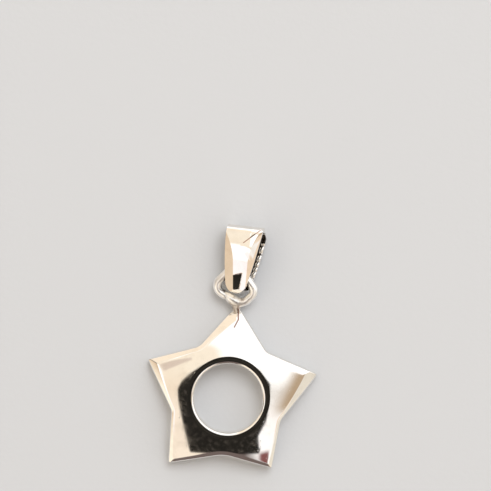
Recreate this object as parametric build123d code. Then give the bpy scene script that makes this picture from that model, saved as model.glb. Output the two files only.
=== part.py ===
from build123d import *

import os
from math import cos, radians, sin, sqrt

# A small puffed star pendant in polished silver, lying on its flat back with its face up.
# The star has a round hole through its middle. A loop of round wire is soldered to its top tip,
# and a folded strap bail hangs in that loop. Z is up, Y points from the star to the bail, and
# the origin is the middle of the hole on the resting plane. All lengths are in millimetres and
# all angles in degrees.

# Star: its edge roll is at most star_roll_limit times the wall at its tips
star_tip_radius = 8.6
star_corner_radius = 5.5
star_corner_round = 1.2
star_tip_round = 0.3
star_height = 2.45
star_dome_radius = 30.0
star_edge_roll = 0.8
star_roll_limit = 1.035
star_back_round = 0.12

# Arms of the hand-finished star, clockwise from the top one. Each row has its tip, then the
# inner corner after it: radii and bends as shares of those above, the turn as shares of an arm.
star_arms = [
    # tip_reach, corner_reach, corner_bend, corner_turn
    (1.015, 1.0, 0.8, 0.0),
    (1.03, 1.01, 1.2, 0.03),
    (0.955, 1.04, 3.0, -0.01),
    (1.02, 1.03, 0.8, -0.03),
    (0.99, 0.995, 1.2, -0.01),
]

# Hole through the star, with a narrow flat land around it and a rounded lip
hole_radius = 3.3
hole_land_width = 0.66
hole_lip_round = 0.32
hole_drop = 0.28

# Wire loop over the top tip: its lowest corner lies a little beyond and beside the sharp tip
loop_wire = 0.76
loop_span = 4.3
loop_rise = 3.97
loop_tip_gap = -0.02
loop_offset = 0.46
loop_height = 1.05
loop_lean = 14.0
loop_roll = 7.0

# Corners of the loop before they are bent: places as shares of loop_span and loop_rise,
# measured from the lowest corner, and bend radii as shares of the wire's thickness
loop_corners = [
    # across, up, bend
    (0.0, 0.0, 1.35),
    (0.285, 0.368, 1.04),
    (-0.216, 1.0, 1.42),
    (-0.715, 0.339, 1.1),
]

# Solder neck between the tip and the loop: it starts neck_root short of the sharp tip and ends
# neck_reach past the loop's lowest corner
neck_width = 0.92
neck_offset = -0.08
neck_root = 0.95
neck_root_height = 0.62
neck_reach = 0.19

# Folded strap bail: a closed band seen from the side, cut to a tongue seen from the front. The
# straight part of its front stands bail_front_bulge further out than its top bend.
bail_length = 6.45
bail_wall = 0.5
bail_foot_bend = 0.62
bail_top_bend = 1.35
bail_front_slope = 7.5
bail_front_bulge = 0.26
bail_front_arc = 9.0
bail_top_width = 3.62
bail_middle_width = 3.1
bail_foot_width = 1.8
bail_foot_round = 0.85
bail_facet_width = 1.44
bail_bevel_slope = 20.0

# How the bail lies: rolled onto its left edge and turned a little, clear of the loop's wire
bail_roll = 11.0
bail_turn = -4.7
bail_offset = 0.04
bail_loop_gap = 0.28


def polar(radius, angle):
    """A vector in the XY plane with a length and an angle from X."""
    return Vector(radius * cos(radians(angle)), radius * sin(radians(angle)))


def nearest_vertex(shape, point):
    """The vertex of a shape that lies closest to a point."""
    return min(shape.vertices(), key=lambda vertex: (Vector(vertex) - point).length)


def star_face(tip_round):
    """The star's plan, with its inner corners rounded, and its tips if tip_round is not zero."""
    arm_angle = 360.0 / len(star_arms)
    centre = Vector(0, hole_drop)
    tips = []
    corners = []
    for step, (tip_reach, corner_reach, corner_bend, corner_turn) in enumerate(star_arms):
        tip_angle = 90.0 - step * arm_angle
        corner_angle = tip_angle - (0.5 + corner_turn) * arm_angle
        tips.append(centre + polar(tip_reach * star_tip_radius, tip_angle))
        corners.append(centre + polar(corner_reach * star_corner_radius, corner_angle))
    points = [point for pair in zip(tips, corners) for point in pair]
    face = make_face(Polyline(*points, close=True))
    if tip_round:
        face = fillet([nearest_vertex(face, tip) for tip in tips], tip_round)
    for row, corner in zip(star_arms, corners):
        face = fillet(nearest_vertex(face, corner), row[2] * star_corner_round)
    return face


def edge_roll():
    """The roll of the star's edge, limited by the wall that is left at the longest arm's tip."""
    reach = star_tip_radius * max(row[0] for row in star_arms)
    wall = star_height - star_dome_radius + sqrt(star_dome_radius ** 2 - reach ** 2)
    return min(star_edge_roll, star_roll_limit * wall)


def star_body():
    """The star: a domed plate whose edge rolls down to a flat back, with a lipped hole.

    The land around the hole lies level with the dome where the two meet.
    """
    dome = Pos(0, 0, star_height - star_dome_radius) * Sphere(star_dome_radius)
    plate = extrude(star_face(0), star_height) & dome
    crown = plate.faces().sort_by(Axis.Z)[-1]
    plate = fillet(crown.edges(), edge_roll())
    plate &= extrude(star_face(star_tip_round), star_height)
    back = plate.faces().sort_by(Axis.Z)[0]
    plate = chamfer(back.edges(), star_back_round)
    plate -= Pos(0, 0, star_height / 2) * Cylinder(hole_radius, 2 * star_height)
    land_radius = hole_radius + hole_land_width
    land_height = star_height - star_dome_radius + sqrt(star_dome_radius ** 2 - land_radius ** 2)
    ends = (Align.CENTER, Align.CENTER, Align.MIN)
    plate -= Pos(0, 0, land_height) * Cylinder(land_radius, star_height, align=ends)
    rims = plate.edges().filter_by(GeomType.CIRCLE).filter_by(lambda edge: edge.radius < land_radius)
    return fillet(rims.sort_by(Axis.Z)[-1], hole_lip_round)


def top_tip_y():
    """How far up the sharp tip of the top arm lies."""
    return hole_drop + star_arms[0][0] * star_tip_radius


def loop_corner_place():
    """The lowest corner of the loop's wire, before it is bent."""
    return Vector(loop_offset, top_tip_y() + loop_tip_gap, loop_height)


def wire_loop():
    """The soldered loop: round wire along four straight sides and four tangent bends."""
    points = [(across * loop_span, up * loop_rise) for across, up, bend in loop_corners]
    bends = [bend * loop_wire for across, up, bend in loop_corners]
    route = FilletPolyline(*points, radius=bends, close=True)
    start = Plane(origin=route @ 0, z_dir=route % 0)
    wire = sweep(start * Circle(loop_wire / 2), path=route)
    return Pos(loop_corner_place()) * Rot(loop_lean, -loop_roll, 0) * wire


def solder_neck():
    """A short rod from inside the top arm to the loop's lowest bend."""
    root = Vector(neck_offset, top_tip_y() - neck_root, neck_root_height)
    head = Vector(neck_offset, loop_corner_place().Y + neck_reach, loop_height)
    axis = head - root
    rod = Cylinder(neck_width / 2, axis.length, align=(Align.CENTER, Align.CENTER, Align.MIN))
    return Plane(origin=root, z_dir=axis) * rod


def front_directions():
    """Unit vectors along the bail's straight front and square to it, in the YZ plane."""
    slope = radians(bail_front_slope)
    return Vector(0, cos(slope), sin(slope)), Vector(0, -sin(slope), cos(slope))


def bail_foot_depth():
    """How deep the bail is at its foot, where the line of its straight front ends."""
    slope = radians(bail_front_slope)
    fall = (bail_length - bail_top_bend) * sin(slope)
    return bail_top_bend + (bail_top_bend + bail_front_bulge - fall) / cos(slope)


def bail_profile():
    """The bail's side view in the YZ plane, with its back on the line Z = 0.

    The front rises from the foot as a straight line and meets the top bend through one wide
    arc. Both corners of the foot are bent to the same radius.
    """
    along, outward = front_directions()
    foot = Vector(0, 0, bail_foot_depth())
    top = Vector(0, bail_length - bail_top_bend, bail_top_bend)
    reach = bail_top_bend + bail_front_bulge
    arc_run = sqrt((bail_front_arc - bail_top_bend) ** 2 - (bail_front_arc - reach) ** 2)
    front_end = foot + along * ((top - foot).dot(along) - arc_run)
    centre = front_end - outward * bail_front_arc
    to_top = (top - centre).normalized()
    to_middle = (outward + to_top).normalized()
    back_end = Vector(0, top.Y, 0)
    arc_end = centre + to_top * bail_front_arc
    edges = [
        Line((0, 0, 0), back_end),
        ThreePointArc(back_end, (0, bail_length, top.Z), arc_end),
        ThreePointArc(arc_end, centre + to_middle * bail_front_arc, front_end),
        Line(front_end, foot),
        Line(foot, (0, 0, 0)),
    ]
    face = make_face(Wire(edges))
    return fillet(face.vertices().group_by(Axis.Y)[0], bail_foot_bend)


def bail_plan():
    """The bail's front view: a tongue that widens upwards, with a rounded foot."""
    top, middle, foot = (w / 2 for w in (bail_top_width, bail_middle_width, bail_foot_width))
    edges = [
        Line((-foot, 0), (foot, 0)),
        ThreePointArc((foot, 0), (middle, bail_length / 2), (top, bail_length)),
        Line((top, bail_length), (-top, bail_length)),
        ThreePointArc((-top, bail_length), (-middle, bail_length / 2), (-foot, 0)),
    ]
    face = make_face(Wire(edges))
    feet = face.vertices().group_by(Axis.Y)[0]
    return fillet(feet, bail_foot_round)


def bail_strap():
    """The folded strap in its own frame: foot at the origin, back on Z = 0, front up."""
    along, outward = front_directions()
    profile = bail_profile()
    band = extrude(profile - offset(profile, -bail_wall), bail_top_width, both=True)
    strap = band & extrude(bail_plan(), 2 * bail_length, both=True)
    reach = 2 * bail_length
    block = Box(2 * reach, 2 * reach, reach, align=(Align.CENTER, Align.CENTER, Align.MIN))
    for side in (-1, 1):
        edge = Vector(side * bail_facet_width / 2, 0, bail_foot_depth())
        normal = outward.rotate(Axis((0, 0, 0), along), side * bail_bevel_slope)
        strap -= Plane(origin=edge, x_dir=along, z_dir=normal) * block
    return strap


def placed_bail():
    """The bail as it lies: its foot in the loop and its left edge on the resting plane."""
    rolled = Rot(0, -bail_roll, 0) * bail_strap()
    rest = -rolled.bounding_box().min.Z
    foot_y = loop_corner_place().Y + loop_wire + bail_loop_gap
    return Pos(bail_offset, foot_y, rest) * Rot(0, 0, bail_turn) * rolled


star = star_body() + wire_loop() + solder_neck()
bail = placed_bail()

star.label = "star"
bail.label = "bail"

os.makedirs("parts", exist_ok=True)
for part in (star, bail):
    export_step(part, f"parts/{part.label}.step")
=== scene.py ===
"""Dress a small polished silver star pendant that lies face up on a pale table.

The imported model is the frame. Each sub-assembly below is a class that holds its sizes, works its
surface out with numpy and dresses it. Sizes are in millimetres and angles in degrees, and one
function turns millimetres into the metres of the mesh. The star's hole is at the origin, Z is up
and Y points from the star to the bail.
"""

import logging
import math
from dataclasses import dataclass
from enum import Enum
from typing import Any, Sequence

import bpy
import numpy as np
from mathutils import Matrix


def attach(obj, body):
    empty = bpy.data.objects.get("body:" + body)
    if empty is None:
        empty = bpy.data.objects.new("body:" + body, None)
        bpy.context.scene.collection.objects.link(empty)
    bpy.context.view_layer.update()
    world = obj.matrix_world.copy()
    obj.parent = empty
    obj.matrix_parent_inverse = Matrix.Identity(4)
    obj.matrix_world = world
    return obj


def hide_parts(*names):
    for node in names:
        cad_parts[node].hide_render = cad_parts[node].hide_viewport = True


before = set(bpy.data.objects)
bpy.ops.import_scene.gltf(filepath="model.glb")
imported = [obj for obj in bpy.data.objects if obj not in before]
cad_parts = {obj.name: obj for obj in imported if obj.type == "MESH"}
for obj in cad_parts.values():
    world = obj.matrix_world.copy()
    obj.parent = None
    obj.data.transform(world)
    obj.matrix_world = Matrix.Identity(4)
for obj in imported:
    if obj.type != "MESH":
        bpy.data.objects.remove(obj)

LOG = logging.getLogger("star_pendant")
METRES_PER_MM = 0.001


# Colours and node helpers


def linear_colour(code: str) -> tuple[float, float, float, float]:
    """Turn an sRGB hex colour into the linear colour that a shader works with.

    Args:
        code: six hex digits, such as "f0e6d6".

    Returns:
        Linear red, green, blue and an alpha of one.
    """
    channels = [int(code[k:k + 2], 16) / 255 for k in (0, 2, 4)]
    linear = [c / 12.92 if c <= 0.04045 else ((c + 0.055) / 1.055) ** 2.4 for c in channels]
    return (linear[0], linear[1], linear[2], 1.0)


def per_metre(size: float) -> float:
    """Texture scale whose pattern repeats about every size millimetres on Object coordinates."""
    return 1 / (size * METRES_PER_MM)


def add_node(
    tree: bpy.types.NodeTree,
    kind: str,
    settings: dict[str, Any] | None = None,
    inputs: dict[str | int, Any] | None = None,
) -> bpy.types.Node:
    """Add one node with its settings and its inputs.

    Args:
        tree: node tree that takes the node.
        kind: Blender's name for the type of node.
        settings: properties of the node by name.
        inputs: values, or output sockets to link from, by input name or number.

    Returns:
        The new node.
    """
    node = tree.nodes.new(kind)
    for name, value in (settings or {}).items():
        setattr(node, name, value)
    for key, value in (inputs or {}).items():
        if isinstance(value, bpy.types.NodeSocket):
            tree.links.new(value, node.inputs[key])
        else:
            node.inputs[key].default_value = value
    return node


def set_stops(node: bpy.types.Node, stops: Sequence[tuple[float, str]]) -> None:
    """Give a colour ramp its stops.

    Args:
        node: a colour ramp node.
        stops: place from 0 to 1 and sRGB hex colour of each stop, in order.
    """
    elements = node.color_ramp.elements
    while len(elements) < len(stops):
        elements.new(1.0)
    for element, (place, code) in zip(elements, stops):
        element.position = place
        element.color = linear_colour(code)


# Flat tracks of straight runs and bends


@dataclass(frozen=True)
class Run:
    """A straight stretch of a flat track, from start to end."""

    start: np.ndarray
    end: np.ndarray

    def length(self) -> float:
        """How long the stretch is."""
        return float(np.linalg.norm(self.end - self.start))

    def at(self, way: np.ndarray) -> tuple[np.ndarray, np.ndarray]:
        """Points and headings along the stretch.

        Args:
            way: distances from its start.

        Returns:
            Points start + way * heading, and the constant unit heading for each of them.
        """
        heading = (self.end - self.start) / max(self.length(), 1e-9)
        return self.start + way[:, None] * heading, np.broadcast_to(heading, (way.size, 2))

    def distance(self, places: np.ndarray) -> np.ndarray:
        """Distances to the nearest point of the stretch.

        Args:
            places: points in the last axis.

        Returns:
            One distance for each place.
        """
        along = self.end - self.start
        share = np.clip((places - self.start) @ along / (along @ along), 0, 1)
        return np.linalg.norm(places - self.start - share[..., None] * along, axis=-1)


@dataclass(frozen=True)
class Bend:
    """A round stretch of a flat track: radius, begin angle and signed turn, in radians."""

    centre: np.ndarray
    radius: float
    begin: float
    turn: float

    def length(self) -> float:
        """How long the stretch is."""
        return abs(self.turn) * self.radius

    def at(self, way: np.ndarray) -> tuple[np.ndarray, np.ndarray]:
        """Points and headings along the bend.

        Args:
            way: distances from its start.

        Returns:
            Points on the circle at begin + turn * way / length, and the unit tangents there.
        """
        angle = self.begin + self.turn * way / max(self.length(), 1e-9)
        spoke = np.stack([np.cos(angle), np.sin(angle)], axis=-1)
        side = math.copysign(1.0, self.turn)
        heading = side * np.stack([-spoke[:, 1], spoke[:, 0]], axis=-1)
        return self.centre + self.radius * spoke, heading

    def finish(self) -> np.ndarray:
        """The point where the bend ends."""
        return self.at(np.array([self.length()]))[0][0]

    def distance(self, places: np.ndarray) -> np.ndarray:
        """Distances to the bend.

        Args:
            places: points in the last axis.

        Returns:
            |way from the centre - radius| for each place in the fan that the bend spans, and
            infinity outside it.
        """
        middle = self.begin + self.turn / 2
        offset = places - self.centre
        reach = np.linalg.norm(offset, axis=-1)
        inside = offset @ np.array([math.cos(middle), math.sin(middle)])
        fan = inside >= math.cos(self.turn / 2) * reach
        return np.where(fan, np.abs(reach - self.radius), np.inf)


@dataclass(frozen=True)
class Track:
    """A closed flat track of runs and bends that join smoothly."""

    pieces: tuple[Run | Bend, ...]

    @classmethod
    def rounded(cls, corners: np.ndarray, radii: Sequence[float]) -> "Track":
        """Round the corners of a polygon.

        Args:
            corners: one row of two coordinates for each corner, in order.
            radii: the radius at each corner. The bend starts radius / tan(half the corner's
                angle) before the corner.

        Returns:
            The closed track: for each corner its bend, then the run to the next corner.
        """
        bends: list[Bend] = []
        for number, (corner, radius) in enumerate(zip(corners, radii)):
            back = corners[number - 1] - corner
            ahead = corners[(number + 1) % len(corners)] - corner
            back, ahead = back / np.linalg.norm(back), ahead / np.linalg.norm(ahead)
            half = math.acos(float(np.clip(back @ ahead, -1, 1))) / 2
            bisector = (back + ahead) / np.linalg.norm(back + ahead)
            centre = corner + bisector * radius / math.sin(half)
            first = corner + back * radius / math.tan(half) - centre
            side = math.copysign(1.0, float(ahead[0] * back[1] - ahead[1] * back[0]))
            bends.append(Bend(centre, radius, math.atan2(first[1], first[0]), side * (math.pi - 2 * half)))
        pieces: list[Run | Bend] = []
        for number, bend in enumerate(bends):
            following = bends[(number + 1) % len(bends)]
            leave = bend.at(np.array([bend.length()]))[0][0]
            meet = following.at(np.array([0.0]))[0][0]
            pieces += [bend, Run(leave, meet)]
        return cls(tuple(pieces))

    def sample(self, count: int) -> tuple[np.ndarray, np.ndarray]:
        """Points and headings at even steps of length round the track.

        Args:
            count: how many points.

        Returns:
            Two arrays of count rows: the points and the unit headings.
        """
        ends = np.cumsum([piece.length() for piece in self.pieces])
        way = np.linspace(0, ends[-1], count, endpoint=False)
        owner = np.searchsorted(ends, way, side="right")
        points, headings = np.empty((count, 2)), np.empty((count, 2))
        for number, piece in enumerate(self.pieces):
            mine = owner == number
            start = ends[number] - piece.length()
            points[mine], headings[mine] = piece.at(way[mine] - start)
        return points, headings


# Meshes from grids


def grid_faces(rows: int, columns: int, close_rows: bool) -> np.ndarray:
    """Corner numbers of the four-sided faces of a grid whose columns always close.

    Args:
        rows: number of rows.
        columns: number of columns.
        close_rows: whether the last row joins the first one.

    Returns:
        One row of four corner numbers for each face.
    """
    first = np.arange(rows if close_rows else rows - 1)[:, None] * columns
    second = np.roll(np.arange(rows), -1)[:first.size, None] * columns
    here = np.arange(columns)[None, :]
    beside = np.roll(np.arange(columns), -1)[None, :]
    faces = np.stack([first + here, first + beside, second + beside, second + here], axis=-1)
    return faces.reshape(-1, 4)


def grid_piece(name: str, points: np.ndarray, sharp: float, close_rows: bool = True) -> bpy.types.Object:
    """Make one smooth-shaded piece from a grid of points.

    The columns close on themselves. Where the rows don't close, each end is capped by one face.

    Args:
        name: name of the piece.
        points: rows by columns by three coordinates, in millimetres.
        sharp: angle between faces past which an edge stays sharp.
        close_rows: whether the last row joins the first one.

    Returns:
        The piece, linked to the scene, with its place in its mesh.
    """
    rows, columns = points.shape[:2]
    faces = grid_faces(rows, columns, close_rows)
    corners = points.reshape(-1, 3) * METRES_PER_MM
    caps = [] if close_rows else [np.arange(columns)[::-1], np.arange(columns) + (rows - 1) * columns]
    loops = np.concatenate([faces.ravel(), *caps]).astype(np.int32)
    starts = np.concatenate([np.arange(len(faces)) * 4, faces.size + np.arange(len(caps)) * columns])
    mesh = bpy.data.meshes.new(name)
    mesh.vertices.add(len(corners))
    mesh.vertices.foreach_set("co", corners.astype(np.float32).ravel())
    mesh.loops.add(loops.size)
    mesh.loops.foreach_set("vertex_index", loops)
    mesh.polygons.add(starts.size)
    mesh.polygons.foreach_set("loop_start", starts.astype(np.int32))
    mesh.update(calc_edges=True)
    mesh.validate()
    mesh.polygons.foreach_set("use_smooth", np.ones(starts.size, dtype=bool))
    mesh.set_sharp_from_angle(angle=math.radians(sharp))
    piece = bpy.data.objects.new(name, mesh)
    bpy.context.scene.collection.objects.link(piece)
    return piece


def turned(points: np.ndarray, axis: int, angle: float) -> np.ndarray:
    """Turn points about one axis through the origin, by the right-hand rule.

    Args:
        points: any array whose last axis holds three coordinates.
        axis: 0, 1 or 2 for X, Y or Z.
        angle: degrees.

    Returns:
        The turned points.
    """
    second, third = (axis + 1) % 3, (axis + 2) % 3
    cosine, sine = math.cos(math.radians(angle)), math.sin(math.radians(angle))
    result = points.copy()
    result[..., second] = cosine * points[..., second] - sine * points[..., third]
    result[..., third] = sine * points[..., second] + cosine * points[..., third]
    return result


# Finishes


class Polish(Enum):
    """How a stretch of the silver was finished, or where shade is painted on it, and so what its material
    is named for.
    """

    # Buffed on a wheel: a clear mirror with slow waves and faint hairlines
    MIRROR = "buffed_rhodium_plated_silver"
    # Drawn, hammered and tumbled in steel shot: broad soft highlights
    DRAWN = "tumbled_silver_wire"
    # Melted, run and left as it froze: a greyer skin with pits
    SOLDERED = "flowed_silver_solder"
    # Rolled flat, filed and buffed: a mirror in flat facets
    ROLLED = "rolled_silver_strap"
    # Painted shade over the inside of the bail: a dark brown satin
    SHADED_INSIDE = "painted_shade_silver_inside"


@dataclass(frozen=True)
class PaintedCreaseShade:
    """A straight line of painted shade along a crease, between two places in millimetres."""

    start: tuple[float, float]
    end: tuple[float, float]
    width: float
    # Colour of the painted shade
    tone: str = "8c6a5e"


@dataclass(frozen=True)
class SilverFinish:
    """Sterling silver under thin rhodium: a bright white metal, glossy by how it was polished.

    The tone goes from light to dull and the roughness from gloss to gloss plus smear, by cloudy
    smears of the buff. Waves, hairs and pits each have a size across and a depth. Real buffing
    hairs are under 0.01 mm wide, too fine to show, so they are drawn wider. All of them read
    Object coordinates.
    """

    polish: Polish
    light: str = "f4f1ec"
    dull: str = "ebe6df"
    gloss: float = 0.045
    smear: float = 0.05
    smear_size: float = 1.4
    wave_size: float = 2.2
    wave_depth: float = 0.0012
    hair_size: float = 0.045
    hair_depth: float = 0.00006
    hair_stretch: float = 12.0
    hair_turn: float = 0.6
    pit_size: float = 0.5
    pit_depth: float = 0.0008
    # Lines of painted shade along creases, laid over the tone
    crease_shades: tuple[PaintedCreaseShade, ...] = ()

    def shade_creases(
        self,
        tree: bpy.types.NodeTree,
        place: bpy.types.NodeSocket,
        tone: bpy.types.NodeSocket,
    ) -> bpy.types.NodeSocket:
        """Lay the lines of painted shade along creases over a tone.

        Each is a band round a line seen from above: the distance of a place from its nearest
        point on the line, compared with half the line's width, mixes its painted shade in. The band's
        edge is soft from 0.4 to 1.6 times that half width.

        Args:
            tree: the material's node tree.
            place: socket with the place in Object coordinates.
            tone: socket with the tone below.

        Returns:
            The socket with the new tone.
        """
        flat = add_node(tree, "ShaderNodeVectorMath", {"operation": "MULTIPLY"}, {
            0: place, 1: (1.0, 1.0, 0.0)}).outputs[0]
        for shade_line in self.crease_shades:
            start = np.array([*shade_line.start, 0.0]) * METRES_PER_MM
            end = np.array([*shade_line.end, 0.0]) * METRES_PER_MM
            along = (end - start) / np.linalg.norm(end - start)
            offset = add_node(tree, "ShaderNodeVectorMath", {"operation": "SUBTRACT"}, {
                0: flat, 1: start.tolist()}).outputs[0]
            way = add_node(tree, "ShaderNodeVectorMath", {"operation": "DOT_PRODUCT"}, {
                0: offset, 1: along.tolist()}).outputs["Value"]
            length = float(np.linalg.norm(end - start))
            held = add_node(tree, "ShaderNodeClamp", {}, {
                "Value": way, "Min": 0.0, "Max": length}).outputs[0]
            nearest = add_node(tree, "ShaderNodeVectorMath", {"operation": "SCALE"}, {
                0: along.tolist(), "Scale": held}).outputs[0]
            apart = add_node(tree, "ShaderNodeVectorMath", {"operation": "DISTANCE"}, {
                0: offset, 1: nearest}).outputs["Value"]
            half = shade_line.width / 2 * METRES_PER_MM
            mask = add_node(tree, "ShaderNodeMapRange", {"interpolation_type": "SMOOTHSTEP"}, {
                "Value": apart, "From Min": half * 1.6, "From Max": half * 0.4}).outputs[0]
            tone = add_node(tree, "ShaderNodeMix", {"data_type": "RGBA"}, {
                0: mask, 6: tone, 7: linear_colour(shade_line.tone)}).outputs[2]
        return tone

    def material(self) -> bpy.types.Material:
        """Build the material.

        Cloudy smears mix the light and the dull tone and raise the roughness. The bump adds
        three heights: slow waves, hairs stretched along one slanted way, and sparse round pits.

        Returns:
            The new material, named for its polish.
        """
        made = bpy.data.materials.new(self.polish.value)
        made.use_nodes = True
        tree = made.node_tree
        tree.nodes.clear()
        place = add_node(tree, "ShaderNodeTexCoord").outputs["Object"]
        cloud = add_node(tree, "ShaderNodeTexNoise", {}, {
            "Vector": place, "Scale": per_metre(self.smear_size), "Detail": 5.0, "Roughness": 0.6})
        cloudy = add_node(tree, "ShaderNodeMapRange", {}, {
            "Value": cloud.outputs["Fac"], "From Min": 0.45, "From Max": 0.75})
        tone = add_node(tree, "ShaderNodeMix", {"data_type": "RGBA"}, {
            0: cloudy.outputs[0], 6: linear_colour(self.light), 7: linear_colour(self.dull)}).outputs[2]
        tone = self.shade_creases(tree, place, tone)
        slant = add_node(tree, "ShaderNodeMapping", {}, {
            "Vector": place, "Rotation": (0.0, 0.0, self.hair_turn),
            "Scale": (1.0, self.hair_stretch, self.hair_stretch)})
        hairs = add_node(tree, "ShaderNodeTexNoise", {}, {
            "Vector": slant.outputs[0], "Scale": per_metre(self.hair_size * self.hair_stretch),
            "Detail": 2.0})
        rough = add_node(tree, "ShaderNodeMath", {"operation": "MULTIPLY_ADD"}, {
            0: cloudy.outputs[0], 1: self.smear, 2: self.gloss})
        waves = add_node(tree, "ShaderNodeTexNoise", {}, {
            "Vector": place, "Scale": per_metre(self.wave_size), "Detail": 1.0})
        pits = add_node(tree, "ShaderNodeTexVoronoi", {}, {
            "Vector": place, "Scale": per_metre(self.pit_size)})
        pit = add_node(tree, "ShaderNodeMapRange", {"interpolation_type": "SMOOTHSTEP"}, {
            "Value": pits.outputs["Distance"], "From Min": 0.02, "From Max": 0.14})
        normal = None
        for height, depth in (
            (waves.outputs["Fac"], self.wave_depth),
            (hairs.outputs["Fac"], self.hair_depth),
            (pit.outputs[0], self.pit_depth),
        ):
            bump = add_node(tree, "ShaderNodeBump", {}, {
                "Height": height, "Distance": depth * METRES_PER_MM, "Strength": 1.0})
            if normal:
                tree.links.new(normal, bump.inputs["Normal"])
            normal = bump.outputs["Normal"]
        shader = add_node(tree, "ShaderNodeBsdfPrincipled", {}, {
            "Base Color": tone, "Metallic": 1.0, "Roughness": rough.outputs[0], "Normal": normal})
        add_node(tree, "ShaderNodeOutputMaterial", {}, {"Surface": shader.outputs[0]})
        return made


def dress(piece: bpy.types.Object, finish: SilverFinish, node: str) -> bpy.types.Object:
    """Give a piece its finish and tie it to the frame.

    Args:
        piece: the finished piece.
        finish: its finish.
        node: the CAD node that it stands for.

    Returns:
        The same piece.
    """
    piece.data.materials.append(finish.material())
    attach(piece, "root")
    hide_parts(node)
    return piece


# Sub-assemblies


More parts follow.
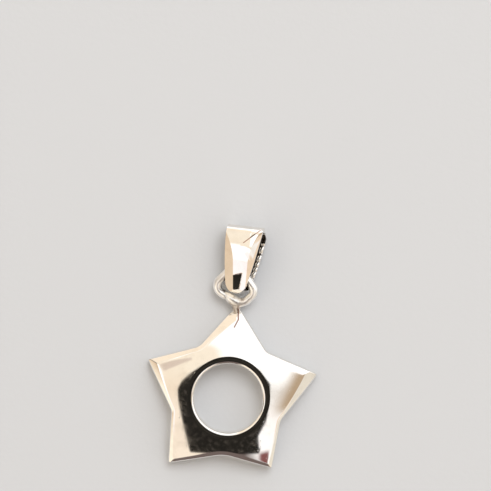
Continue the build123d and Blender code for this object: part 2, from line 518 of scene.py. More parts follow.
@dataclass
class PuffedStar:
    """The domed star: rolled edges that meet in soft ridges, a flat back and a lipped hole."""

    tip_radius: float = 8.6
    corner_radius: float = 5.5
    corner_round: float = 1.2
    tip_round: float = 0.3
    height: float = 2.45
    dome_radius: float = 30.0
    flank_slope: float = 0.34
    flank_curve: float = 0.30
    flank_blend: float = 0.04
    rim_round: float = 0.1
    rim_share: float = 0.98
    ridge_blend: float = 0.04
    back_chamfer: float = 0.12
    hole_radius: float = 3.3
    land_width: float = 0.66
    lip_round: float = 0.28
    hole_drop: float = 0.28
    columns: int = 960
    face_rows: int = 78
    face_crowding: float = 1.5
    lip_rows: int = 9
    land_border: float = 0.02
    foot_border: float = 0.05
    # Arms clockwise from the top one: tip reach, corner reach and corner bend as shares of the
    # radii above, and how far the corner is turned, as a share of an arm
    arms: tuple[tuple[float, float, float, float], ...] = (
        (1.015, 1.0, 0.8, 0.0),
        (1.03, 1.01, 1.2, 0.03),
        (0.955, 1.04, 3.0, -0.01),
        (1.02, 1.03, 0.8, -0.03),
        (0.99, 0.995, 1.2, -0.01),
    )
    # Flanks of the bays, clockwise from the top tip: width at the inner corner, and how it
    # grows towards the tip before the corner and towards the tip after it
    flanks: tuple[tuple[float, float, float], ...] = (
        (0.38, 0.25, 0.0),
        (0.28, 0.34, 0.06),
        (0.29, 0.02, 0.03),
        (0.30, 0.06, 0.20),
        (0.45, 0.05, 0.30),
    )
    # Painted shade along the ridge down the top arm: its points and the width of each stretch
    crease_shade_points: tuple[tuple[float, float], ...] = ((0.145, 8.60), (0.243, 7.564), (-0.074, 6.815))
    crease_shade_widths: tuple[float, ...] = (0.13, 0.12)

    def plan(self) -> tuple[np.ndarray, list[float]]:
        """Corners of the star's plan and the radius at each.

        A tip lies at tip_radius and an inner corner at corner_radius from the star's middle,
        each times its share, and an arm spans 72 degrees.

        Returns:
            Ten corners, a tip before each inner corner, and ten radii.
        """
        corners, radii = [], []
        step = 360 / len(self.arms)
        for number, (tip, corner, bend, turn) in enumerate(self.arms):
            tip_angle = 90 - number * step
            for reach, angle in (
                (tip * self.tip_radius, tip_angle),
                (corner * self.corner_radius, tip_angle - (0.5 + turn) * step),
            ):
                way = math.radians(angle)
                corners.append((reach * math.cos(way), self.hole_drop + reach * math.sin(way)))
            radii += [self.tip_round, bend * self.corner_round]
        return np.array(corners), radii

    def bay_distances(self, places: np.ndarray) -> np.ndarray:
        """Distances from places inside the sharp-tipped star to the bays between its tips.

        Args:
            places: points in the plan, in the last axis.

        Returns:
            The exact distance to each of the five bays, clockwise from the top tip, in a new
            last axis.
        """
        corners, radii = self.plan()
        sharp = 1e-4
        bays = []
        for number in range(0, len(corners), 2):
            tip, corner, following = (corners[(number + k) % len(corners)] for k in range(3))
            track = Track.rounded(np.array([tip, corner, following]), (sharp, radii[number + 1], sharp))
            pieces = [track.pieces[k] for k in (1, 2, 3)]
            bays.append(np.min([piece.distance(places) for piece in pieces], axis=0))
        return np.stack(bays, axis=-1)

    def dome_height(self, places: np.ndarray) -> np.ndarray:
        """Height of the dome: height - R + sqrt(R squared - distance from the hole squared)."""
        reach = (places ** 2).sum(axis=-1)
        return self.height - self.dome_radius + np.sqrt(self.dome_radius ** 2 - reach)

    def flank_widths(self, places: np.ndarray) -> np.ndarray:
        """Widths of the bays' flanks at places.

        A flank has its own width at the inner corner. Past the corner's reach it grows with
        the distance from the hole, at one rate on either side of the corner.

        Args:
            places: points in the plan, in the last axis.

        Returns:
            The width of each bay's flank, clockwise from the top tip, in a new last axis.
        """
        corners = self.plan()[0][1::2]
        reach = np.linalg.norm(places, axis=-1)
        widths = []
        for corner, (width, before, after) in zip(corners, self.flanks):
            side = corner[0] * places[..., 1] - corner[1] * places[..., 0]
            growth = np.where(side > 0, before, after)
            widths.append(width + growth * np.maximum(reach - np.linalg.norm(corner), 0))
        return np.stack(widths, axis=-1)

    def face_height(self, places: np.ndarray) -> np.ndarray:
        """Height of the star's face: the dome less the drop of its flanks and of its rim.

        The ways past the flanks' inner borders are joined by a soft maximum, blend * log(sum
        of exp(way / blend)), which rounds the ridges. With that depth the face drops by
        slope * blend * log(1 + exp(depth / blend)) + curve * depth squared / (2 * width). The
        rim adds a quarter round, which stops at rim_share of its radius so that it isn't steep.

        Args:
            places: points in the plan, in the last axis.

        Returns:
            One height for each place.
        """
        bays = self.bay_distances(places)
        widths = self.flank_widths(places)
        ways = widths - bays
        most = ways.max(axis=-1, keepdims=True)
        weights = np.exp((ways - most) / self.ridge_blend)
        depth = most[..., 0] + self.ridge_blend * np.log(weights.sum(axis=-1))
        width = (weights * widths).sum(axis=-1) / weights.sum(axis=-1)
        distance = bays.min(axis=-1)
        flank = self.flank_slope * self.flank_blend * np.logaddexp(0, depth / self.flank_blend)
        curve = self.flank_curve * np.maximum(depth, 0) ** 2 / (2 * width)
        edge = np.clip(self.rim_round - distance, 0, self.rim_share * self.rim_round)
        rim = self.rim_round - np.sqrt(self.rim_round ** 2 - edge ** 2)
        return self.dome_height(places) - flank - curve - rim

    def surface(self) -> np.ndarray:
        """The whole skin as one grid that closes both ways.

        Columns run round the outline, and the rows go up the hole's wall, round its lip, over
        the land and the face to the edge, down the side and back under the star. On the face
        they crowd towards the edge by a power of the share that is left. A row close to the
        land's border and one close to the hole's foot keep these two edges crisp.

        Returns:
            Rows by columns by three coordinates.
        """
        corners, radii = self.plan()
        outline, heading = Track.rounded(corners, radii).sample(self.columns)
        inward = np.stack([heading[:, 1], -heading[:, 0]], axis=-1)
        spoke = outline / np.linalg.norm(outline, axis=-1, keepdims=True)
        land = self.hole_radius + self.land_width
        land_height = float(self.dome_height(np.array([land, 0.0])))
        angle = np.linspace(0, math.pi / 2, self.lip_rows)
        lip_reach = self.hole_radius + self.lip_round * (1 - np.cos(angle))
        lip_height = land_height - self.lip_round * (1 - np.sin(angle))
        reach = np.concatenate([np.full(3, self.hole_radius), lip_reach, [land - self.land_border]])
        wall = [0.0, self.foot_border, lip_height[0] / 2]
        rise = np.concatenate([wall, lip_height, [land_height]])
        share = 1 - (1 - np.linspace(0, 1, self.face_rows)) ** self.face_crowding
        face = (land * spoke)[None] * (1 - share[:, None, None]) + outline[None] * share[:, None, None]
        chamfered = outline + inward * self.back_chamfer
        side = [outline, outline, chamfered, chamfered * 0.5 + spoke * self.hole_radius * 0.5]
        ground = np.zeros(self.columns)
        low = [self.face_height(outline) * 0.5, ground + self.back_chamfer, ground, ground]
        flat = np.concatenate([reach[:, None, None] * spoke[None], face, np.stack(side)])
        ring = np.broadcast_to(rise[:, None], (rise.size, self.columns))
        height = np.concatenate([ring, self.face_height(face), np.stack(low)])
        return np.concatenate([flat, height[..., None]], axis=-1)

    def build(self) -> bpy.types.Object:
        """Make the star and dress it in mirror-polished silver, with a line of painted shade down the
        ridge of its top arm.

        Returns:
            The star's piece.
        """
        piece = grid_piece("puffed_star", self.surface(), sharp=32.0)
        points = self.crease_shade_points
        crease = tuple(map(PaintedCreaseShade, points[:-1], points[1:], self.crease_shade_widths))
        return dress(piece, SilverFinish(Polish.MIRROR, crease_shades=crease), "star")


@dataclass
class WireLoop:
    """The closed loop of round wire over the top tip, with its solder seam."""

    wire: float = 0.76
    span: float = 4.3
    rise: float = 3.97
    place: tuple[float, float, float] = (0.46, 8.989, 1.05)
    lean: float = 14.0
    roll: float = 7.0
    squareness: float = 2.5
    seam_share: float = 0.905
    seam_width: float = 0.16
    seam_depth: float = 0.10
    seam_wander: float = 0.12
    swell: float = 0.26
    swell_width: float = 0.85
    swell_place: float = -0.30
    # Slow ripples: how many go round the loop, and depths along and around the wire as shares
    ripple_count: int = 9
    ripple_depths: tuple[float, float] = (0.01, 0.008)
    columns: int = 40
    rows: int = 520
    # Corners before they are bent: across and up as shares of span and rise, and the bend's
    # radius as a share of the wire
    corners: tuple[tuple[float, float, float], ...] = (
        (0.0, 0.0, 1.35),
        (0.285, 0.368, 1.04),
        (-0.216, 1.0, 1.42),
        (-0.715, 0.339, 1.1),
    )

    def surface(self) -> np.ndarray:
        """A tube along the bent route.

        A point is the route's point plus the wire's radius times cos(angle) outwards in the
        loop's plane and sin(angle) across it. The wire is hammered a little square, with its
        edges up and outwards, by 1 / (|cos| ** p + |sin| ** p) ** (1 / p). Solder swells it by
        a bell curve beside the lowest corner. The seam wanders by a sine of the angle and takes
        a bell-shaped bite out of the wire, deepest on its upper outer side. Slow ripples stand
        for its small flats.

        Returns:
            Rows by columns by three coordinates.
        """
        flat = np.array([(across * self.span, up * self.rise) for across, up, _ in self.corners])
        track = Track.rounded(flat, [bend * self.wire for _, _, bend in self.corners])
        points, heading = track.sample(self.rows)
        outward = np.stack([heading[:, 1], -heading[:, 0]], axis=-1)
        share = np.linspace(0, 1, self.rows, endpoint=False)[:, None]
        angle = np.linspace(0, 2 * math.pi, self.columns, endpoint=False)[None, :]
        length = sum(piece.length() for piece in track.pieces)
        across_seam = (share - self.seam_share) * length - self.seam_wander * np.sin(angle + 0.6)
        bite = self.seam_depth * np.exp(-(across_seam / self.seam_width) ** 2)
        bite = bite * (0.6 + 0.4 * np.sin(angle + 1.0))
        long_depth, round_depth = self.ripple_depths
        ripple = long_depth * np.sin(2 * math.pi * self.ripple_count * share + 2 * np.sin(angle))
        ripple = ripple + round_depth * np.cos(3 * angle)
        from_neck = (share * length - self.swell_place + length / 2) % length - length / 2
        swell = self.swell * np.exp(-(from_neck / self.swell_width) ** 2)
        side = np.stack([np.cos(angle + math.pi / 4), np.sin(angle + math.pi / 4)])
        squared = (np.abs(side) ** self.squareness).sum(axis=0) ** (-1 / self.squareness)
        radius = self.wire / 2 * squared * (1 + ripple + swell) - bite
        flat_points = points[:, None, :] + (radius * np.cos(angle))[..., None] * outward[:, None, :]
        grid = np.concatenate([flat_points, (radius * np.sin(angle))[..., None]], axis=-1)
        return turned(turned(grid[:, ::-1], 1, -self.roll), 0, self.lean) + np.array(self.place)

    def build(self) -> bpy.types.Object:
        """Make the loop and dress it in tumbled wire.

        Returns:
            The loop's piece.
        """
        piece = grid_piece("wire_loop", self.surface(), sharp=50.0)
        finish = SilverFinish(
            Polish.DRAWN, light="fbf9f6", gloss=0.3, smear=0.1, wave_size=1.1, wave_depth=0.004)
        return dress(piece, finish, "star")


@dataclass
class SolderNeck:
    """The short waisted neck of solder between the star's top tip and the loop."""

    root: tuple[float, float, float] = (-0.05, 8.30, 0.22)
    head: tuple[float, float, float] = (-0.08, 9.179, 1.05)
    waist: float = 0.42
    flare: float = 0.42
    flare_start: float = 0.4
    flare_power: float = 1.6
    # Half thickness at the root, and how much it grows to the head
    thickness: tuple[float, float] = (0.16, 0.26)
    ripple: float = 0.012
    columns: int = 56
    rows: int = 48

    def surface(self) -> np.ndarray:
        """A bar that flares towards the loop.

        Its half width is waist + flare * t to flare_power, where t runs from zero at
        flare_start to one at the head. Its half thickness grows evenly, and a slow ripple,
        three waves round the bar, twists along it.

        Returns:
            Rows by columns by three coordinates.
        """
        root, head = np.array(self.root), np.array(self.head)
        axis = (head - root) / np.linalg.norm(head - root)
        side = np.array([1.0, 0.0, 0.0])
        up = np.cross(axis, side)
        share = np.linspace(0, 1, self.rows)[:, None]
        angle = np.linspace(0, 2 * math.pi, self.columns, endpoint=False)[None, :]
        ripple = self.ripple * np.sin(3 * angle + 9 * share)
        outer = np.clip((share - self.flare_start) / (1 - self.flare_start), 0, 1)
        width = self.waist + self.flare * outer ** self.flare_power + ripple
        across = (width * np.cos(angle))[..., None] * side
        thickness = self.thickness[0] + self.thickness[1] * share + ripple
        upwards = (thickness * np.sin(angle))[..., None] * up
        return root + share[..., None] * (head - root) - across - upwards

    def build(self) -> bpy.types.Object:
        """Make the neck and dress it in flowed solder.

        Returns:
            The neck's piece.
        """
        piece = grid_piece("solder_neck", self.surface(), sharp=60.0, close_rows=False)
        finish = SilverFinish(
            Polish.SOLDERED, light="ddd6cd", dull="b8afa5", gloss=0.32, smear=0.12,
            pit_size=0.3, pit_depth=0.002)
        return dress(piece, finish, "star")


@dataclass
class StrapBail:
    """The folded strap bail: a closed band with a middle facet, two bevels and a beaded margin."""

    length: float = 6.45
    wall: float = 0.42
    foot_bend: float = 0.46
    top_bend: float = 1.35
    front_slope: float = 7.5
    front_bulge: float = 0.26
    front_arc: float = 11.0
    top_round: float = 0.85
    top_width: float = 3.62
    middle_width: float = 3.1
    foot_width: float = 1.8
    foot_round: float = 0.85
    # The right edge is trimmed: the front by an arch of this height, and the back near its top
    # by how much, from where and over what way
    front_trim: float = 0.15
    back_trim: tuple[float, float, float] = (0.3, 5.5, 0.7)
    # Height at which the strap begins to count as front, and the rise over which it becomes it
    front_rise: tuple[float, float] = (1.0, 0.8)
    bevel_slope: float = 27.0
    least_bevel: float = 0.03
    facet_lean: float = 3.6
    skew: float = 0.055
    stretch: float = 0.08
    roll: float = 11.0
    turn: float = -4.7
    offset: float = 0.04
    foot_place: float = 10.029
    rows: int = 440
    columns: tuple[int, int, int] = (22, 44, 8)
    # Borders of the middle facet: its half width at the foot, and how it grows along the bail
    left_border: tuple[float, float] = (0.14, 0.155)
    right_border: tuple[float, float] = (1.03, -0.065)
    # A flat filed into the facet near the foot: corners as across and along, and its slope
    filed_corners: tuple[tuple[float, float], ...] = (
        (-0.24, 0.25), (0.38, 0.40), (0.48, 2.02), (-0.41, 1.71))
    filed_slope: float = 0.18
    filed_edge: float = 0.07
    # A fold from the middle to the top right corner: its ends as across and along, the step
    # down beside it and over what way, and the slope of the rise beyond and how far it goes
    fold_ends: tuple[tuple[float, float], tuple[float, float]] = ((0.09, 4.89), (1.35, 6.20))
    fold_step: float = 0.05
    fold_blend: float = 0.1
    fold_rise: float = 0.09
    fold_reach: float = 0.9
    # The rise's share at the fold's foot and how it grows over the fold's length, up to one,
    # and the depth of bevel over which the fold fades away
    fold_growth: tuple[float, float] = (0.75, 2.5)
    fold_fade: float = 0.2
    # A line of painted shade along the fold's crease, where it lies on the finished piece
    fold_crease_shade: PaintedCreaseShade = PaintedCreaseShade((0.03, 14.95), (1.52, 16.27), 0.09, "b08f80")
    # Least wall below the bevels, the width of the back's margins and the least half width
    # between them
    least_wall: float = 0.14
    margin: float = 0.45
    least_middle: float = 0.1
    # Beads rolled along the right margin of the back
    bead_pitch: float = 0.62
    bead_width: float = 0.15
    bead_height: float = 0.22
    bead_inset: float = 0.14
    bead_start: float = 0.9
    # The beads' pitch wanders by a sine along the strap: its size and its rate
    bead_wander: tuple[float, float] = (0.8, 2.3)
    bead_slack: float = 0.05
    bead_columns: int = 17

    def profile(self) -> tuple[np.ndarray, np.ndarray]:
        """The band's side view, with its back on the line of height zero.

        The back and the straight front are runs. The top has two bends, and its front one meets
        a wide arc. Both corners of the foot are bent to the same radius.

        Returns:
            Points and headings along the closed outer line, as places along and up.
        """
        slope = math.radians(self.front_slope)
        along = np.array([math.cos(slope), math.sin(slope)])
        outward = np.array([-along[1], along[0]])
        bend = self.top_round
        top = np.array([self.length - bend, 2 * self.top_bend - bend])
        foot = np.array([0.0, self.foot_depth()])
        run = math.sqrt((self.front_arc - bend) ** 2 - (self.front_arc - (foot - top) @ outward) ** 2)
        front_end = foot + along * ((top - foot) @ along - run)
        centre = front_end - outward * self.front_arc
        meet = math.atan2(*(top - centre)[::-1])
        finish = math.atan2(outward[1], outward[0])
        sharp = 1e-3
        corners = Track.rounded(
            np.array([[0.0, 0.0], [self.length, 0.0], front_end, foot]),
            (self.foot_bend, sharp, sharp, self.foot_bend))
        low, high = corners.pieces[0], corners.pieces[6]
        pieces = (
            low,
            Run(low.finish(), np.array([top[0], 0.0])),
            Bend(np.array([top[0], bend]), bend, -math.pi / 2, math.pi / 2),
            Run(np.array([self.length, bend]), np.array([self.length, top[1]])),
            Bend(top, bend, 0.0, meet),
            Bend(centre, self.front_arc, meet, finish - meet),
            Run(front_end, high.at(np.zeros(1))[0][0]),
            high,
            Run(high.finish(), low.at(np.zeros(1))[0][0]),
        )
        return Track(pieces).sample(self.rows)

    def foot_depth(self) -> float:
        """Work out how deep the bail is at its foot.

        Returns:
            The height where the line of its straight front meets the foot. The front stands
            front_bulge further out than the top bend.
        """
        slope = math.radians(self.front_slope)
        fall = (self.length - self.top_bend) * math.sin(slope)
        return self.top_bend + (self.top_bend + self.front_bulge - fall) / math.cos(slope)

    def half_width(self, along: np.ndarray) -> np.ndarray:
        """Half the tongue's width at places along the bail.

        It follows the parabola through the widths at the foot, the middle and the top, and the
        foot's corners are rounded by a circle.

        Args:
            along: places from the foot.

        Returns:
            One half width for each place.
        """
        share = along / self.length
        foot, middle, top = self.foot_width / 2, self.middle_width / 2, self.top_width / 2
        curve = foot + (4 * middle - 3 * foot - top) * share + 2 * (foot + top - 2 * middle) * share ** 2
        short = np.clip(self.foot_round - along, 0, self.foot_round)
        return curve - self.foot_round + np.sqrt(self.foot_round ** 2 - short ** 2)

    def on_front(self, up: np.ndarray) -> np.ndarray:
        """How far heights belong to the front of the strap, from 0 to 1."""
        return np.clip((up - self.front_rise[0]) / self.front_rise[1], 0, 1)

    def right_trim(self, along: np.ndarray, front: np.ndarray) -> np.ndarray:
        """How much the strap's right edge is trimmed.

        The front's trim is front_trim times the sine of a middle stretch of a half turn, which
        makes it largest halfway up. The back's grows evenly near the top.

        Args:
            along: places from the foot.
            front: how far they belong to the front.

        Returns:
            One trim for each place.
        """
        share = np.clip(along / self.length, 0, 1)
        trim = self.front_trim * front * np.sin(math.pi * (0.15 + 0.7 * share))
        most, begin, way = self.back_trim
        return trim + most * (1 - front) * np.clip((along - begin) / way, 0, 1)

    def across(self, line: np.ndarray) -> np.ndarray:
        """Places across the strap, with columns that follow the borders of the middle facet.

        A border lies where the front meets the bevel's plane: its place on the straight front
        plus the front's fall below its straight plane, over the tangent of the bevel's slope,
        less that of the facet's lean on the left. On the back the outer columns share a margin
        of even width.

        Args:
            line: one row of place along and height for each point of a side view.

        Returns:
            One row of places across, from left to right, for each point of the side view.
        """
        along, up = line[:, 0], line[:, 1]
        slope, bevel = math.radians(self.front_slope), math.radians(self.bevel_slope)
        half = self.half_width(along)
        front = self.on_front(up)
        trim = self.right_trim(along, front)
        fall = np.maximum(along * math.sin(slope) - (up - self.foot_depth()) * math.cos(slope), 0)
        lean = math.tan(math.radians(self.facet_lean))
        left, right = self.borders(along)
        left = np.minimum(left + fall / (math.tan(bevel) - lean), half - self.least_bevel)
        right = np.minimum(right + fall / math.tan(bevel), half - trim - self.least_bevel)
        inner = np.maximum(half - self.margin, self.least_middle)
        left, right = inner + front * (left - inner), inner + front * (right - inner)
        side = np.linspace(0, 1, self.columns[0])[None, :]
        middle = self.middle_shares(along)
        return np.concatenate([
            -half[:, None] + (half - left)[:, None] * side,
            -left[:, None] + (left + right)[:, None] * middle,
            right[:, None] + (half - trim - right)[:, None] * side], axis=1)

    def middle_shares(self, along: np.ndarray) -> np.ndarray:
        """Where the middle columns lie between the facet's borders, from 0 to 1.

        The column three fifths of the way across follows the right side of the filed flat, and
        those on either side of it are evenly spread.

        Args:
            along: places from the foot.

        Returns:
            One row of shares for each place.
        """
        ends = np.array(self.filed_corners[1:3])
        left, right = self.borders(ends[:, 1])
        pivot = np.interp(along, ends[:, 1], (ends[:, 0] + left) / (left + right))[:, None]
        even = np.linspace(0, 1, self.columns[1])[None, 1:-1]
        held = even[0, even.size * 3 // 5]
        return np.where(even < held, even / held * pivot, 1 - (1 - even) / (1 - held) * (1 - pivot))

    def borders(self, along: np.ndarray) -> tuple[np.ndarray, np.ndarray]:
        """How far the middle facet reaches to the left and to the right on the straight front."""
        (left, left_growth), (right, right_growth) = self.left_border, self.right_border
        return left + left_growth * along, right + right_growth * along

    def carved(self, across: np.ndarray, along: np.ndarray, up: np.ndarray) -> np.ndarray:
        """Heights of the outer side after filing.

        The middle facet leans to the left, and the bevels take away what stands above two
        planes. The filed flat slopes to the right between four sides. To the right of its line
        the fold steps down by a smooth step, more and more towards the top corner, and rises
        again beyond. It fades away over the right bevel, where that has cut fold_fade deep.

        Args:
            across: places across the strap.
            along: places along it.
            up: heights before filing.

        Returns:
            The new heights.
        """
        slope, bevel = math.radians(self.front_slope), math.radians(self.bevel_slope)
        left, right = self.borders(along)
        lean = math.tan(math.radians(self.facet_lean))
        foot, tip = (np.array(end) for end in self.fold_ends)
        way = (tip - foot) / np.linalg.norm(tip - foot)
        reach = ((across - foot[0]) * way[0] + (along - foot[1]) * way[1]) / np.linalg.norm(tip - foot)
        beside = (across - foot[0]) * way[1] - (along - foot[1]) * way[0]
        on_front = self.on_front(up)
        step = np.clip(beside / self.fold_blend, 0, 1)
        fold = self.fold_step * np.clip(reach, 0, 1) * step ** 2 * (3 - 2 * step)
        first, growth = self.fold_growth
        grown = np.clip(growth * reach + first, 0, 1)
        fold = fold - self.fold_rise * grown * np.clip(beside, 0, self.fold_reach)
        up = up - on_front * lean * np.maximum(right - across, 0)
        level = up + np.where(across < 0, lean * (left + right), 0) - self.foot_depth()
        above = (
            (np.abs(across) - np.where(across < 0, left, right)) * math.sin(bevel)
            + (level * math.cos(slope) - along * math.sin(slope)) * math.cos(bevel))
        up = up - np.maximum(above, 0) / (math.cos(slope) * math.cos(bevel))
        up = up - on_front * fold * np.clip(1 - above / self.fold_fade, 0, 1)
        inside = np.ones_like(up)
        corners = np.array(self.filed_corners)
        for corner, following in zip(corners, np.roll(corners, -1, axis=0)):
            side = following - corner
            within = side[0] * (along - corner[1]) - side[1] * (across - corner[0])
            inside = inside * np.clip(within / np.linalg.norm(side) / self.filed_edge + 0.5, 0, 1)
        return up - on_front * self.filed_slope * np.maximum(across + left, 0) * inside

    def beads(self, across: np.ndarray, along: np.ndarray, up: np.ndarray) -> np.ndarray:
        """Rise of the beads over the inner side of the back.

        It is bead_height * exp(-(way from the beads' line / bead_width) squared), times the
        sum of a quarter and three quarters of a squared cosine along the strap. The straight
        part of the back is what lies lower than the wall and bead_slack.

        Args:
            across: places across the inner side.
            along: places along it.
            up: its heights.

        Returns:
            One rise for each place, zero away from the back.
        """
        margin = self.half_width(along[:, 0])[:, None] - across
        size, rate = self.bead_wander
        wave = np.cos(math.pi * along / self.bead_pitch + size * np.sin(rate * along)) ** 2
        rise = self.bead_height * np.exp(-((margin - self.bead_inset) / self.bead_width) ** 2)
        straight = (along > self.bead_start) & (along < self.length - self.top_bend)
        low = up < self.wall + self.bead_slack
        return np.where(low & straight, rise * (0.25 + 0.75 * wave), 0)

    def surface(self) -> np.ndarray:
        """The strap's skin as one grid that closes both ways.

        Rows follow the side view. Columns go across the outer side, round an edge, back across
        the inner side and round the other edge. The inner side keeps least_wall below the
        bevels. At last the strap is skewed and stretched towards its top, and laid down.

        Returns:
            Rows by columns by three coordinates.
        """
        points, heading = self.profile()
        inner = points - np.stack([heading[:, 1], -heading[:, 0]], axis=-1) * self.wall
        outer_across = self.across(points)
        along = np.broadcast_to(points[:, :1], outer_across.shape)
        up = self.carved(outer_across, along, np.broadcast_to(points[:, 1:], along.shape))
        outer = np.stack([outer_across, along, up], axis=-1)
        inner_across = self.across(inner)[:, ::-1]
        along = np.broadcast_to(inner[:, :1], inner_across.shape)
        up = np.broadcast_to(inner[:, 1:], inner_across.shape)
        up = np.minimum(up, self.carved(inner_across, along, up + self.wall) - self.least_wall)
        up = up + self.beads(inner_across, along, up)
        inside = np.stack([inner_across, along, up], axis=-1)
        edge = np.linspace(0, 1, self.columns[2] + 2)[1:-1][None, :, None]
        right = outer[:, -1:, :] * (1 - edge) + inside[:, :1, :] * edge
        left = inside[:, -1:, :] * (1 - edge) + outer[:, :1, :] * edge
        grid = np.concatenate([outer, right, inside, left], axis=1)
        reach = np.clip(grid[..., 1] / self.length, 0, 1)
        grid[..., 1] += self.skew * grid[..., 0] * reach ** 2 + self.stretch * reach ** 4
        rolled = turned(grid[:, ::-1], 1, -self.roll)
        rolled[..., 2] -= rolled[..., 2].min()
        return turned(rolled, 2, self.turn) + np.array([self.offset, self.foot_place, 0.0])

    def painted_shade_faces(self, count: int) -> np.ndarray:
        """Tell which faces lie on the inner side, short of its beaded margin, and so take the painted
        shade.

        Args:
            count: number of faces of the grid.

        Returns:
            One true or false for each face.
        """
        outer = 2 * self.columns[0] + self.columns[1] - 2
        total = 2 * (outer + self.columns[2])
        column = total - 2 - np.arange(count) % total
        start = outer + self.columns[2]
        return (column >= start + self.bead_columns) & (column < start + outer - 1)

    def build(self) -> bpy.types.Object:
        """Make the bail and dress it in rolled strap, with painted shade over most of its inside.

        Returns:
            The bail's piece.
        """
        piece = grid_piece("strap_bail", self.surface(), sharp=14.0)
        finish = SilverFinish(
            Polish.ROLLED, gloss=0.05, smear=0.05, wave_size=1.6, wave_depth=0.0015,
            crease_shades=(self.fold_crease_shade,))
        dress(piece, finish, "bail")
        # Painted shade: the inner side, short of its beaded margin, takes a dark brown tone where shade
        # falls inside the band
        inside = SilverFinish(Polish.SHADED_INSIDE, light="6b6259", dull="47413b", gloss=0.4, smear=0.2)
        piece.data.materials.append(inside.material())
        faces = piece.data.polygons
        faces.foreach_set("material_index", self.painted_shade_faces(len(faces)).astype(np.int32))
        return piece


# Stage


Side = tuple[float, float, float, float]
CeilingPoint = tuple[float, float]


@dataclass(frozen=True)
class SkyShape:
    """A patch of the studio's sky: where every side's dot product passes its limit.

    Each side is a direction and a limit. A plane through the pendant has limit zero, and a
    round spot has one side whose limit is the cosine of its radius. A grain is a second colour
    that specks the first.
    """

    colour: str
    softness: float
    sides: tuple[Side, ...]
    grain: str | None = None


def ceiling_sides(*lines: tuple[CeilingPoint, CeilingPoint]) -> tuple[Side, ...]:
    """Sides of a sky shape along lines on a ceiling one unit above the pendant.

    Args:
        lines: where each line starts and ends on the ceiling. The shape lies to its left.

    Returns:
        For each line the unit direction square to its plane, and a limit of zero.
    """
    sides = []
    for start, end in lines:
        normal = np.cross([*start, 1.0], [*end, 1.0])
        x, y, z = (float(part) for part in normal / np.linalg.norm(normal))
        sides.append((x, y, z, 0.0))
    return tuple(sides)


def closed_sides(corners: Sequence[CeilingPoint]) -> tuple[Side, ...]:
    """Sides of a sky shape between corners on the ceiling, anticlockwise."""
    return ceiling_sides(*zip(corners, (*corners[1:], corners[0])))


def sky_spot(azimuth: float, tilt: float, radius: float) -> Side:
    """Side of a sky shape that is a round spot.

    Args:
        azimuth: degrees from +X towards +Y.
        tilt: degrees from straight up.
        radius: degrees.

    Returns:
        The direction of the spot's middle and the cosine of its radius.
    """
    around, down = math.radians(azimuth), math.radians(tilt)
    direction = (math.sin(down) * math.cos(around), math.sin(down) * math.sin(around), math.cos(down))
    return (*direction, math.cos(math.radians(radius)))


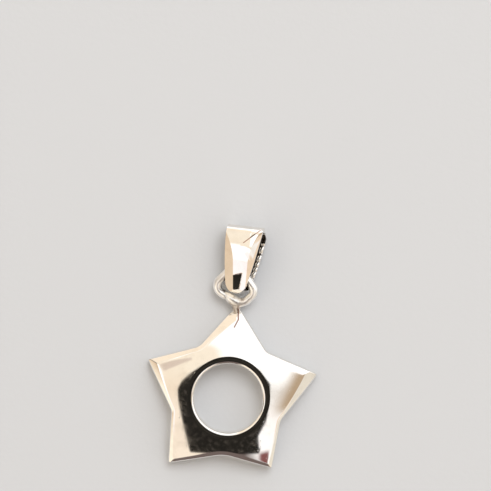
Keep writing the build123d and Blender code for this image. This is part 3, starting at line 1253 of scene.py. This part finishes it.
@dataclass
class Studio:
    """A white light tent with a dark camera opening overhead, a soft key light and a table."""

    table_size: float = 1200.0
    table_colour: str = "c9cbce"
    tooth_size: float = 0.6
    tooth_depth: float = 0.03
    backdrop: str = "d6d6d6"
    key_power: float = 0.9
    key_size: float = 260.0
    key_place: tuple[float, float, float] = (90.0, 260.0, 420.0)
    # Walls of the tent by azimuth from +X: place on the circle and colour, near the zenith
    # and near the table
    high: tuple[tuple[float, str], ...] = (
        (0.0, "dad6d2"), (0.05, "ffffff"), (0.28, "ffffff"), (0.33, "e7dbca"), (0.44, "e7dccb"),
        (0.52, "e0d0bc"), (0.58, "e7d9c9"), (0.70, "e7d9c9"), (0.715, "665a57"), (0.80, "665a57"),
        (0.835, "f8f5f5"), (0.93, "ece8e6"), (1.0, "dad6d2"))
    low: tuple[tuple[float, str], ...] = (
        (0.0, "cdc6bb"), (0.05, "ffffff"), (0.20, "ffffff"), (0.235, "f6ead9"),
        (0.268, "ecdcc6"), (0.44, "e7d9c8"), (0.47, "857f79"), (0.505, "857f79"),
        (0.528, "c9b094"), (0.56, "f3ead9"), (0.70, "f3ead9"), (0.725, "665a57"),
        (0.79, "665a57"), (0.84, "e2d3c0"), (0.92, "d8d1c4"), (1.0, "cdc6bb"))
    # Z of a view where the low walls begin to pass to the high ones, and where they have
    low_end: float = 0.45
    high_start: float = 0.80
    # Specks in a grained patch: how many fit a unit of direction, and where they set in
    speck_scale: float = 38.0
    speck_range: tuple[float, float] = (0.52, 0.75)
    white_gain: float = 1.35

    def shapes(self) -> list[SkyShape]:
        """Patches of the tent, in the order in which they are laid over its walls.

        They are given by points on a ceiling one unit above the pendant, anticlockwise, so
        each shape is the space to the left of all its sides. White panels stand towards the
        bail, with a brown board, its white sill and a warm spot on the right. An arrow, a
        window with its curtain and a bright slit stand on the left. The camera's dark opening
        lies over them, with a light notch and a reddish stain at its right side.

        Returns:
            The patches, the lowest first.
        """
        panel = ceiling_sides(
            ((-0.03, 0.52), (-0.30, 0.20)), ((-0.30, 0.152), (0.30, 0.158)),
            ((0.35, 0.195), (0.56, 0.155)))
        far_panel = ceiling_sides(((-0.26, 0.97), (-0.03, 0.52)), ((-0.3, 0.45), (0.5, 0.45)))
        board = ceiling_sides(((0.455, 0.132), (0.358, -0.094)), ((0.2, -0.15), (0.6, -0.15)))
        sill = ceiling_sides(((0.36, 0.17), (0.60, 0.14)), ((0.36, 0.5), (0.36, 0.1)))
        opening = (
            (-0.345, 0.012), (-0.369, -0.045), (-0.363, -0.105), (-0.25, -0.52), (0.27, -0.475),
            (0.29, -0.12), (0.285, 0.05), (0.20, 0.14), (-0.20, 0.14), (-0.285, 0.075))
        notch = ((0.240, -0.331), (0.262, -0.43), (0.33, -0.40), (0.295, -0.19))
        arrow = ((-0.55, 0.12), (-0.50, 0.072), (-0.285, 0.172), (-0.29, 0.185), (-0.46, 0.155))
        window = ((-0.50, -0.21), (-0.50, 0.02), (-0.545, 0.10), (-1.1, 0.10), (-1.1, -0.21))
        slit = ((-0.44, 0.27), (-0.44, 0.75), (-0.535, 0.75), (-0.535, 0.27))
        curtain = ((-0.50, -0.42), (-0.50, -0.21), (-1.1, -0.21), (-1.1, -0.42))
        stain = ((0.27, -0.475), (0.31, -0.70), (0.40, -0.66), (0.345, -0.45))
        return [
            SkyShape("ffffff", 0.03, panel),
            SkyShape("ffffff", 0.03, far_panel),
            SkyShape("a8937b", 0.055, (*board, sky_spot(azimuth=0, tilt=32, radius=20))),
            SkyShape("ffffff", 0.005, sill),
            SkyShape("dac5ae", 0.006, (sky_spot(azimuth=338, tilt=34, radius=7),)),
            SkyShape("c8b8ab", 0.006, closed_sides(arrow)),
            SkyShape("ffffff", 0.02, closed_sides(window)),
            SkyShape("f3eaeb", 0.012, closed_sides(curtain)),
            SkyShape("ffffff", 0.006, closed_sides(slit)),
            SkyShape("201e1b", 0.006, closed_sides(opening), grain="4a453f"),
            SkyShape("f8f5f5", 0.006, closed_sides(notch)),
            SkyShape("784846", 0.018, closed_sides(stain)),
        ]

    def build_sky(self) -> None:
        """Make the world: what the metal and the table see, and a plain backdrop for the camera.

        The azimuth picks a colour from the high and the low ramp, the view's Z mixes the two,
        and the shapes are laid over them.
        """
        world = bpy.data.worlds.new("light_tent")
        bpy.context.scene.world = world
        world.use_nodes = True
        tree = world.node_tree
        tree.nodes.clear()
        look = add_node(tree, "ShaderNodeTexCoord").outputs["Generated"]
        parts = add_node(tree, "ShaderNodeSeparateXYZ", {}, {0: look})
        around = add_node(tree, "ShaderNodeMath", {"operation": "ARCTAN2"}, {
            0: parts.outputs["Y"], 1: parts.outputs["X"]})
        turn = add_node(tree, "ShaderNodeMath", {"operation": "MULTIPLY"}, {
            0: around.outputs[0], 1: 1 / (2 * math.pi)})
        wrapped = add_node(tree, "ShaderNodeMath", {"operation": "WRAP"}, {
            0: turn.outputs[0], 1: 1.0, 2: 0.0})
        ramps = []
        for stops in (self.low, self.high):
            ramp = add_node(tree, "ShaderNodeValToRGB", {}, {0: wrapped.outputs[0]})
            set_stops(ramp, stops)
            ramps.append(ramp)
        steep = add_node(tree, "ShaderNodeMapRange", {"interpolation_type": "SMOOTHSTEP"}, {
            "Value": parts.outputs["Z"], "From Min": self.low_end, "From Max": self.high_start})
        colour = add_node(tree, "ShaderNodeMix", {"data_type": "RGBA"}, {
            0: steep.outputs[0], 6: ramps[0].outputs[0], 7: ramps[1].outputs[0]}).outputs[2]
        grain = add_node(tree, "ShaderNodeTexNoise", {}, {
            "Vector": look, "Scale": self.speck_scale, "Detail": 2.0}).outputs["Fac"]
        specks = add_node(tree, "ShaderNodeMapRange", {}, {
            "Value": grain, "From Min": self.speck_range[0], "From Max": self.speck_range[1]}).outputs[0]
        for shape in self.shapes():
            mask = None
            for x, y, z, limit in shape.sides:
                dot = add_node(tree, "ShaderNodeVectorMath", {"operation": "DOT_PRODUCT"}, {
                    0: look, 1: (x, y, z)})
                side = add_node(tree, "ShaderNodeMapRange", {"interpolation_type": "SMOOTHSTEP"}, {
                    "Value": dot.outputs["Value"], "From Min": limit - shape.softness,
                    "From Max": limit + shape.softness}).outputs[0]
                if mask:
                    side = add_node(tree, "ShaderNodeMath", {"operation": "MULTIPLY"}, {
                        0: mask, 1: side}).outputs[0]
                mask = side
            patch = linear_colour(shape.colour)
            if shape.grain:
                patch = add_node(tree, "ShaderNodeMix", {"data_type": "RGBA"}, {
                    0: specks, 6: patch, 7: linear_colour(shape.grain)}).outputs[2]
            colour = add_node(tree, "ShaderNodeMix", {"data_type": "RGBA"}, {
                0: mask, 6: colour, 7: patch}).outputs[2]
        tent = add_node(tree, "ShaderNodeBackground", {}, {
            "Color": colour, "Strength": self.white_gain})
        plain = add_node(tree, "ShaderNodeBackground", {}, {
            "Color": linear_colour(self.backdrop), "Strength": 1.0})
        seen = add_node(tree, "ShaderNodeLightPath").outputs["Is Camera Ray"]
        both = add_node(tree, "ShaderNodeMixShader", {}, {
            0: seen, 1: tent.outputs[0], 2: plain.outputs[0]})
        add_node(tree, "ShaderNodeOutputWorld", {}, {"Surface": both.outputs[0]})

    def build_key(self) -> None:
        """Make the soft key light, which the metal doesn't mirror."""
        lamp = bpy.data.lights.new("soft_key", "AREA")
        lamp.size = self.key_size * METRES_PER_MM
        lamp.energy = self.key_power
        holder = bpy.data.objects.new("soft_key", lamp)
        place = np.array(self.key_place) * METRES_PER_MM
        stand(holder, place, -place, np.array([0.0, 1.0, 0.0]))
        holder.visible_glossy = False
        bpy.context.scene.collection.objects.link(holder)

    def build_table(self) -> bpy.types.Object:
        """Make the table top: a flat square of board.

        Pressed paper board is matt and has a fine tooth, so it gives the eye an even pale ground
        with soft shadows and no reflections.

        Returns:
            The table.
        """
        half = self.table_size / 2 * METRES_PER_MM
        corners = [(-half, -half, 0), (half, -half, 0), (half, half, 0), (-half, half, 0)]
        mesh = bpy.data.meshes.new("table_top")
        mesh.from_pydata(corners, [], [(0, 1, 2, 3)])
        table = bpy.data.objects.new("table_top", mesh)
        bpy.context.scene.collection.objects.link(table)
        board = bpy.data.materials.new("pale_matt_board")
        board.use_nodes = True
        tree = board.node_tree
        tree.nodes.clear()
        place = add_node(tree, "ShaderNodeTexCoord").outputs["Object"]
        tooth = add_node(tree, "ShaderNodeTexNoise", {}, {
            "Vector": place, "Scale": per_metre(self.tooth_size), "Detail": 4.0}).outputs["Fac"]
        bump = add_node(tree, "ShaderNodeBump", {}, {
            "Height": tooth, "Distance": self.tooth_depth * METRES_PER_MM, "Strength": 0.6})
        shader = add_node(tree, "ShaderNodeBsdfPrincipled", {}, {
            "Base Color": linear_colour(self.table_colour), "Roughness": 0.85,
            "Normal": bump.outputs[0]})
        add_node(tree, "ShaderNodeOutputMaterial", {}, {"Surface": shader.outputs[0]})
        mesh.materials.append(board)
        return table


def stand(holder: bpy.types.Object, place: np.ndarray, forward: np.ndarray, up: np.ndarray) -> None:
    """Stand a camera or light at a place, looking along its -Z.

    Args:
        holder: the camera's or light's object.
        place: where it stands, in metres.
        forward: the way it looks.
        up: a direction that shows upwards in its view.
    """
    back = -forward / np.linalg.norm(forward)
    right = np.cross(up, back)
    right = right / np.linalg.norm(right)
    turn = np.eye(4)
    turn[:3, 0], turn[:3, 1], turn[:3, 2], turn[:3, 3] = right, np.cross(back, right), back, place
    holder.matrix_world = Matrix(turn.tolist())


@dataclass
class PhotoCamera:
    """The camera straight above, with the pendant turned a little in its frame."""

    height: float = 200.0
    place: tuple[float, float] = (0.245, 14.70)
    frame_width: float = 47.43
    turn: float = 5.5
    sensor: float = 36.0
    nearest: float = 10.0
    farthest: float = 5000.0

    def build(self) -> None:
        """Make the scene's camera. Its frame is frame_width across at the table."""
        data = bpy.data.cameras.new("photo_camera")
        data.sensor_width = self.sensor
        data.lens = self.sensor * self.height / self.frame_width
        data.clip_start = self.nearest * METRES_PER_MM
        data.clip_end = self.farthest * METRES_PER_MM
        holder = bpy.data.objects.new("photo_camera", data)
        bpy.context.scene.collection.objects.link(holder)
        way = math.radians(self.turn)
        place = np.array([*self.place, self.height]) * METRES_PER_MM
        down, up = np.array([0.0, 0.0, -1.0]), np.array([-math.sin(way), math.cos(way), 0.0])
        stand(holder, place, down, up)
        bpy.context.scene.camera = holder


def main() -> None:
    """Build the stage and then each piece of the pendant, and report them."""
    logging.basicConfig(level=logging.INFO, format="%(name)s %(message)s")
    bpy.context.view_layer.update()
    scene = bpy.context.scene
    scene.view_settings.view_transform = "Standard"
    PhotoCamera().build()
    studio = Studio()
    studio.build_sky()
    studio.build_key()
    studio.build_table()
    for part in (PuffedStar(), WireLoop(), SolderNeck(), StrapBail()):
        piece = part.build()
        LOG.info("%s: %d faces", piece.name, len(piece.data.polygons))


if __name__ == "__main__":
    main()
